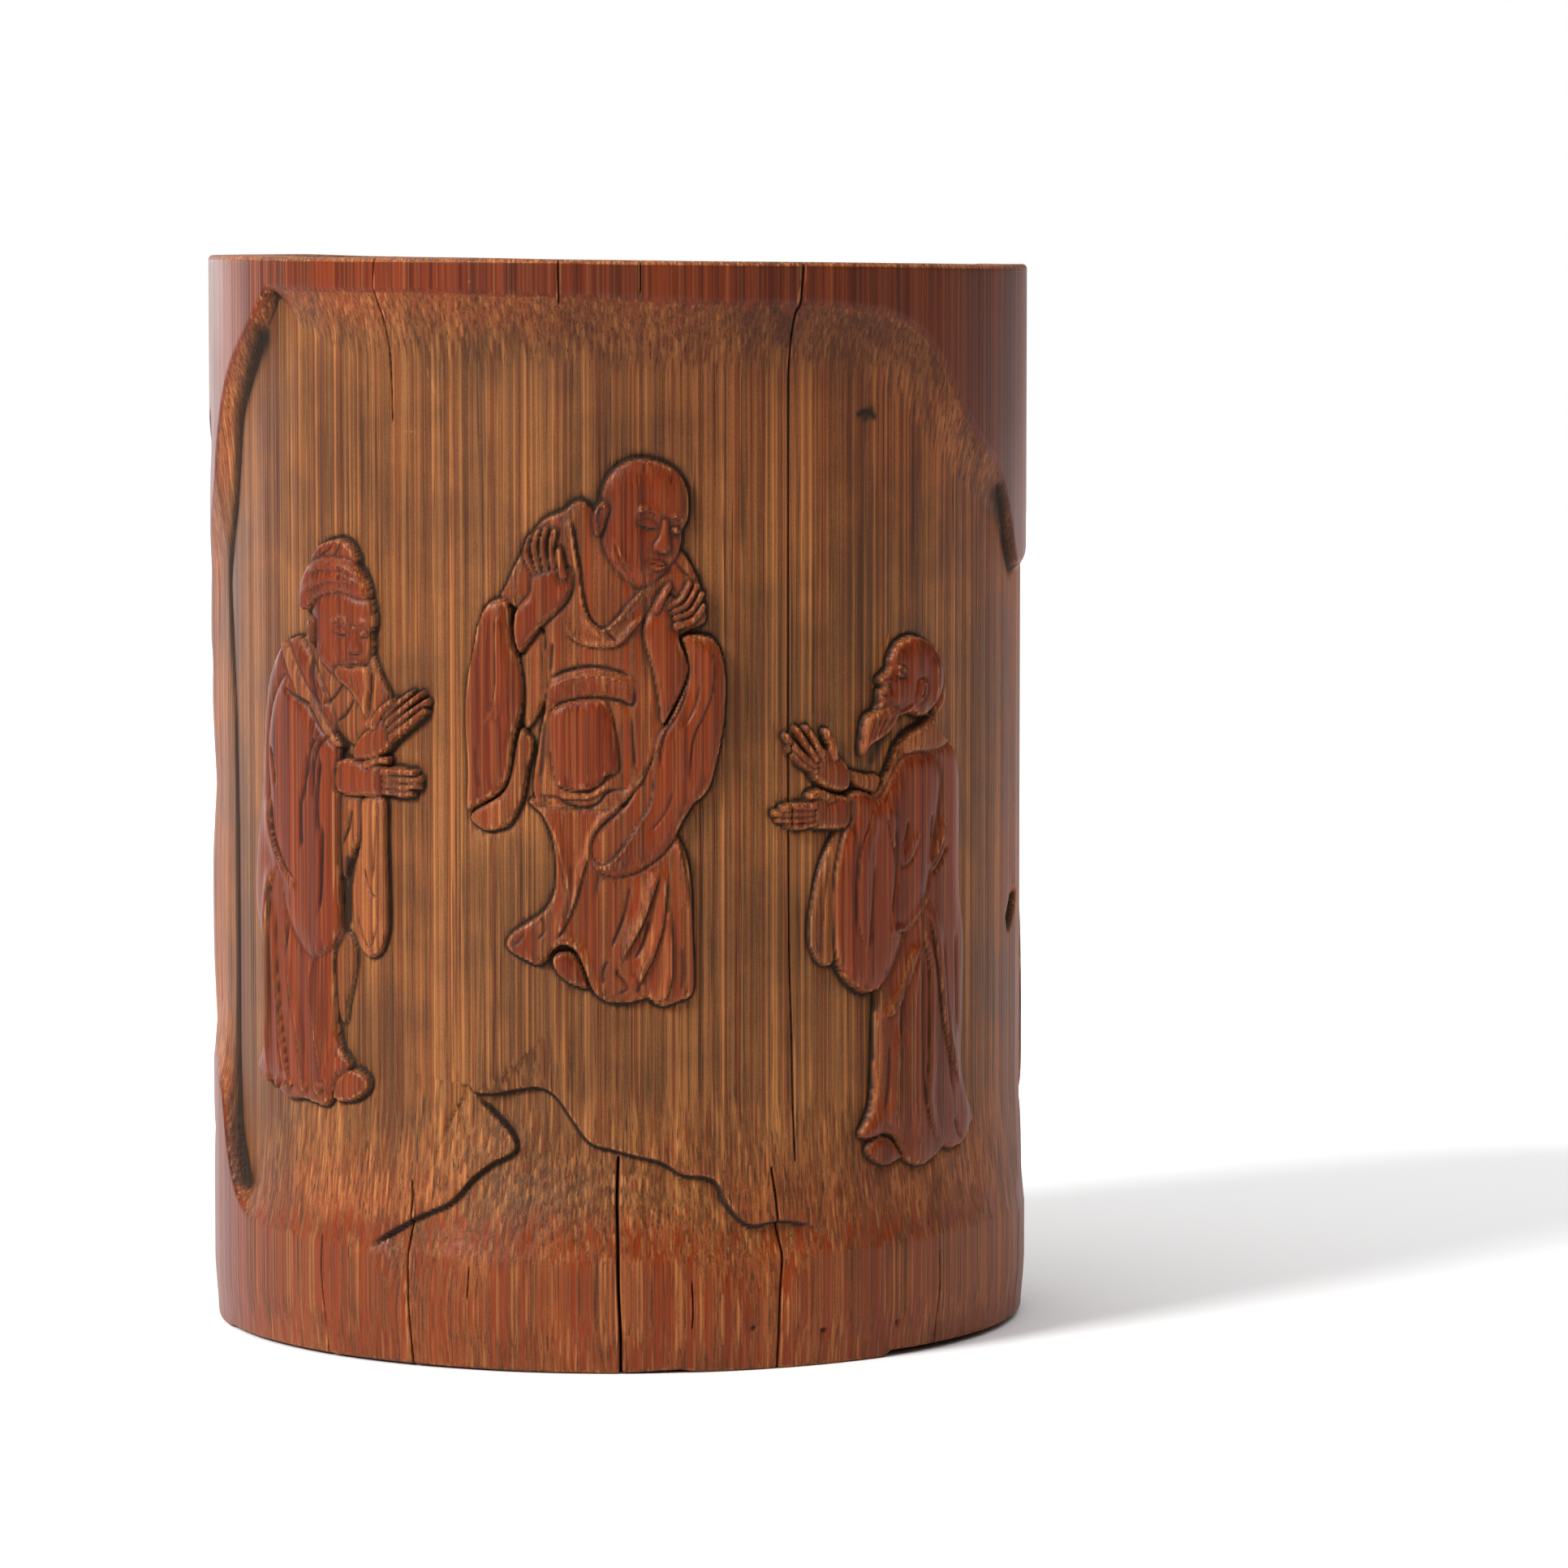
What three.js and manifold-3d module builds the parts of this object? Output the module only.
// Carved bamboo brush pot: one length of a thick culm, carved in relief on the outside, standing on
// three low feet cut in its lower edge, with a round floor board let in from below.
// Millimetres, +Z up. The origin is on the resting plane, on the culm's axis. The carved front faces -Y
// and +X is to its right.
//
// Places on the wall are given as [arc, height]: arc is the distance along the outside from the middle
// of the front, positive to the right, and height is measured from the resting plane.

import * as THREE from 'three';
import { mergeVertices } from 'three/addons/utils/BufferGeometryUtils.js';
import { TessellateModifier } from 'three/addons/modifiers/TessellateModifier.js';
import Module from 'manifold-3d';

const wasm = await Module();
wasm.setup();

// Driving dimensions.
const POT_HEIGHT = 154.3; // at the middle of the rim
const RIM_FALL = 0.7; // how much higher the rim is at the left, and lower at the right
const RIM_ZONE = 150; // above this height the rim's slope is taken up
const SKIN_RADIUS = 59.6; // outside of the bamboo skin
const FOOT_RADIUS = 58.6; // outside at the lowest edge
const BAND_HEIGHT = 16; // plain band above the feet
const BORE_RADIUS = 51.5; // inside of the wall
const EDGE = 0.8; // small round on the rim, made as a chamfer
const WALL_SIDES = 96;

const FOOT_HEIGHT = 0.8;
const FOOT_MIDDLES = [28, 148, 268]; // degrees round from the front, positive to the right
const FOOT_SPAN = 32; // degrees

const BOARD_RADIUS = 53.7;
const BOARD_BOTTOM = 2;
const BOARD_TOP = 7.9;
const BOARD_CHAMFER = 0.7;
const GAP = 0.3; // clearance between pieces that touch
const BEAD_SIZE = 2.6; // lacquer fillet round the floor

const GROUND_DEPTH = 2.2; // how far the ground is cut below the skin at the front
const SHALLOW_DEPTH = 0.8; // and at the right-hand side
const SHALLOW_ARC = 92;
const SHALLOW_WIDTH = 28;
const RELIEF_DROP = 0.3; // the figures' tops lie this far under the skin
const CLEAR = 4; // how far a cutter reaches beyond what it cuts
const PATCH_EDGE = 10; // longest straight edge on a curved patch

// The sunk ground: one opening that runs from the left of the front round to the back.
const GROUND_OUTLINE = [
  [-58, 149.5], [-30, 150], [0, 149.6], [25, 149], [42, 147.6], [50, 143], [57, 134], [66, 126.5],
  [73, 119], [79, 111.5], [88, 112.5], [99, 119], [108, 126], [118, 128], [128, 122], [134, 113],
  [141, 108], [148, 112], [156, 122], [166, 130], [178, 133], [190, 131], [202, 126], [212, 118],
  [219, 108], [226, 98], [236, 92], [248, 90], [257, 84], [261, 76], [256, 70], [254, 60],
  [256, 52], [251, 47], [243, 55], [232, 58], [222, 52], [212, 40], [200, 31], [185, 27],
  [170, 30], [158, 36], [146, 44], [135, 50], [126, 55], [120, 64], [112, 70], [102, 66],
  [95, 59], [94, 43], [97, 34], [94, 22], [80, 18.5], [60, 18], [40, 17], [0, 15.5],
  [-40, 16], [-62, 17.5], [-70, 20], [-75, 27], [-76, 40], [-76.5, 80], [-79, 98], [-80, 108],
  [-77, 115], [-74.5, 124], [-72.5, 132], [-67, 138.5], [-61.5, 145],
];

// Outlines of the three standing figures, left in relief on the ground.
const LEFT_FIGURE = [
  [-49.5, 112.5], [-45, 115.3], [-41.5, 114.8], [-38.5, 109], [-37, 103], [-37.8, 98],
  [-34.8, 93.8], [-29, 94], [-28.3, 92.5], [-33.5, 84.8], [-30.2, 83], [-30.2, 80.5],
  [-35.7, 79.5], [-35.4, 61], [-38, 56.8], [-41.5, 59.5], [-43.6, 47.5], [-39, 40],
  [-40, 37.4], [-47.5, 35.7], [-58, 36.5], [-64.8, 39.6], [-62.6, 44], [-62.6, 54],
  [-65, 66], [-62.5, 82], [-60, 96], [-56, 100.8], [-52.8, 103], [-52, 108],
];
const MIDDLE_FIGURE = [
  [-4, 122.5], [-2.5, 126], [3, 127.3], [8, 124.6], [9.9, 119], [8.7, 114.8], [11.8, 109],
  [12.3, 104.5], [15, 99], [15, 93], [12.2, 80.5], [8.8, 77], [10.6, 70], [10.7, 53],
  [6, 51.3], [0, 51.2], [-4, 53.3], [-10.3, 57], [-12, 56.8], [-16.5, 60], [-10, 65.7],
  [-9.3, 73], [-12.2, 79.3], [-13.5, 79.3], [-16.5, 76], [-19.5, 75.4], [-22, 77.5],
  [-22.3, 95], [-20, 105.5], [-16.5, 109], [-12, 117.5], [-6, 120.5],
];
const RIGHT_FIGURE = [
  [37.2, 96.5], [41.5, 99.8], [47, 101.2], [52, 99], [53.5, 95], [51.2, 90.3], [56, 85.5],
  [57.5, 81], [57.6, 67], [58.9, 58], [58.5, 40], [61.6, 32], [58.5, 29], [52, 28],
  [47, 26.7], [38, 28.8], [36.8, 31.8], [39.3, 38], [40, 51.8], [36, 52.3], [30, 56.1],
  [28.6, 63], [32.4, 74.4], [23.6, 76.3], [22.5, 77.5], [28, 80], [24.3, 88.5],
  [27.5, 89.6], [31.8, 88.2], [34.2, 83.8], [36.8, 84],
];

const BAMBOO = new THREE.MeshStandardMaterial({ color: 0x7a4426, roughness: 0.4, metalness: 0 });
const BOARD_WOOD = new THREE.MeshStandardMaterial({ color: 0x5c3620, roughness: 0.5, metalness: 0 });
const LACQUER = new THREE.MeshStandardMaterial({ color: 0x24130c, roughness: 0.3, metalness: 0 });

// Turns a closed geometry into a manifold solid.
function solidFrom(geometry) {
  geometry.deleteAttribute('normal');
  geometry.deleteAttribute('uv');
  const merged = mergeVertices(geometry, 1e-4);
  return new wasm.Manifold(new wasm.Mesh({
    numProp: 3,
    vertProperties: new Float32Array(merged.attributes.position.array),
    triVerts: new Uint32Array(merged.index.array),
  }));
}

// Turns a manifold solid back into a geometry.
function geometryFrom(solid) {
  const cut = solid.getMesh();
  const geometry = new THREE.BufferGeometry();
  geometry.setAttribute('position', new THREE.BufferAttribute(cut.vertProperties, 3));
  geometry.setIndex(new THREE.BufferAttribute(cut.triVerts, 1));
  geometry.computeVertexNormals();
  return geometry;
}

// A turned solid from a closed profile of [radius, height] points, listed anticlockwise.
function turned(profile, sides) {
  const points = [...profile, profile[0]].map(([radius, height]) => new THREE.Vector2(radius, height));
  return new THREE.LatheGeometry(points, sides).rotateX(Math.PI / 2);
}

function named(name, geometry, material) {
  const mesh = new THREE.Mesh(geometry, material);
  mesh.name = name;
  return mesh;
}

// Depth of the sunk ground under the skin at an arc round the wall.
function groundDepth(arc) {
  const away = (arc - SHALLOW_ARC) / SHALLOW_WIDTH;
  return GROUND_DEPTH - (GROUND_DEPTH - SHALLOW_DEPTH) * Math.exp(-away * away);
}

// A closed patch of the wall inside an outline, between an inner and an outer radius.
function wallPatch(outline, innerAt, outer) {
  const shape = new THREE.Shape(outline.map(([arc, height]) => new THREE.Vector2(arc, height)));
  const slab = new THREE.ExtrudeGeometry(shape, { depth: 1, bevelEnabled: false });
  const patch = new TessellateModifier(PATCH_EDGE, 12).modify(slab);
  const place = patch.attributes.position;
  for (let i = 0; i < place.count; i += 1) {
    const arc = place.getX(i);
    const inner = innerAt(arc);
    const radius = inner + (outer - inner) * place.getZ(i);
    const turn = arc / SKIN_RADIUS;
    place.setXYZ(i, radius * Math.sin(turn), -radius * Math.cos(turn), place.getY(i));
  }
  return solidFrom(patch);
}

// The plain tube, with its rebate for the floor board and its rim cut a little out of level.
function plainTube() {
  const rebate = BOARD_RADIUS + GAP;
  const shoulder = BOARD_TOP + GAP;
  const tube = turned([
    [rebate, 0], [FOOT_RADIUS, 0], [SKIN_RADIUS - EDGE / 2, BAND_HEIGHT / 2], [SKIN_RADIUS, BAND_HEIGHT],
    [SKIN_RADIUS, POT_HEIGHT - EDGE], [SKIN_RADIUS - EDGE, POT_HEIGHT],
    [BORE_RADIUS + EDGE, POT_HEIGHT], [BORE_RADIUS, POT_HEIGHT - EDGE],
    [BORE_RADIUS, shoulder], [rebate, shoulder],
  ], WALL_SIDES);
  const place = tube.attributes.position;
  for (let i = 0; i < place.count; i += 1) {
    if (place.getZ(i) > RIM_ZONE) {
      place.setZ(i, place.getZ(i) - RIM_FALL * place.getX(i) / SKIN_RADIUS);
    }
  }
  return solidFrom(tube);
}

// The shallow arch cut between one foot and the next, in the lower edge.
function footArch(start, end) {
  const turn = (degrees) => THREE.MathUtils.degToRad(degrees - 90);
  const sector = new THREE.Shape();
  sector.absarc(0, 0, SKIN_RADIUS + CLEAR, turn(start), turn(end), false);
  sector.absarc(0, 0, BORE_RADIUS - CLEAR, turn(end), turn(start), true);
  const options = { depth: FOOT_HEIGHT + CLEAR, bevelEnabled: false, curveSegments: 12 };
  return solidFrom(new THREE.ExtrudeGeometry(sector, options).translate(0, 0, -CLEAR));
}

function culmWall() {
  const groundAt = (arc) => SKIN_RADIUS - groundDepth(arc);
  const behindGround = () => SKIN_RADIUS - GROUND_DEPTH - CLEAR;
  let ground = wallPatch(GROUND_OUTLINE, groundAt, SKIN_RADIUS + CLEAR);
  for (const figure of [LEFT_FIGURE, MIDDLE_FIGURE, RIGHT_FIGURE]) {
    ground = ground.subtract(wallPatch(figure, behindGround, SKIN_RADIUS - RELIEF_DROP));
  }
  let wall = plainTube().subtract(ground);
  FOOT_MIDDLES.forEach((middle, i) => {
    const next = i + 1 < FOOT_MIDDLES.length ? FOOT_MIDDLES[i + 1] : FOOT_MIDDLES[0] + 360;
    wall = wall.subtract(footArch(middle + FOOT_SPAN / 2, next - FOOT_SPAN / 2));
  });
  return named('culm_wall', geometryFrom(wall), BAMBOO);
}

function floorBoard() {
  return named('floor_board', turned([
    [0, BOARD_BOTTOM], [BOARD_RADIUS - BOARD_CHAMFER, BOARD_BOTTOM],
    [BOARD_RADIUS, BOARD_BOTTOM + BOARD_CHAMFER], [BOARD_RADIUS, BOARD_TOP], [0, BOARD_TOP],
  ], WALL_SIDES / 2), BOARD_WOOD);
}

// The fillet of lacquer run round the joint between the wall and the floor board, inside.
function floorBead() {
  const outer = BORE_RADIUS - GAP;
  const bottom = BOARD_TOP + GAP;
  return named('floor_bead', turned([
    [outer - BEAD_SIZE, bottom], [outer, bottom], [outer, bottom + BEAD_SIZE],
  ], WALL_SIDES / 2), LACQUER);
}

const pot = new THREE.Group();
pot.add(culmWall(), floorBoard(), floorBead());

export default pot;
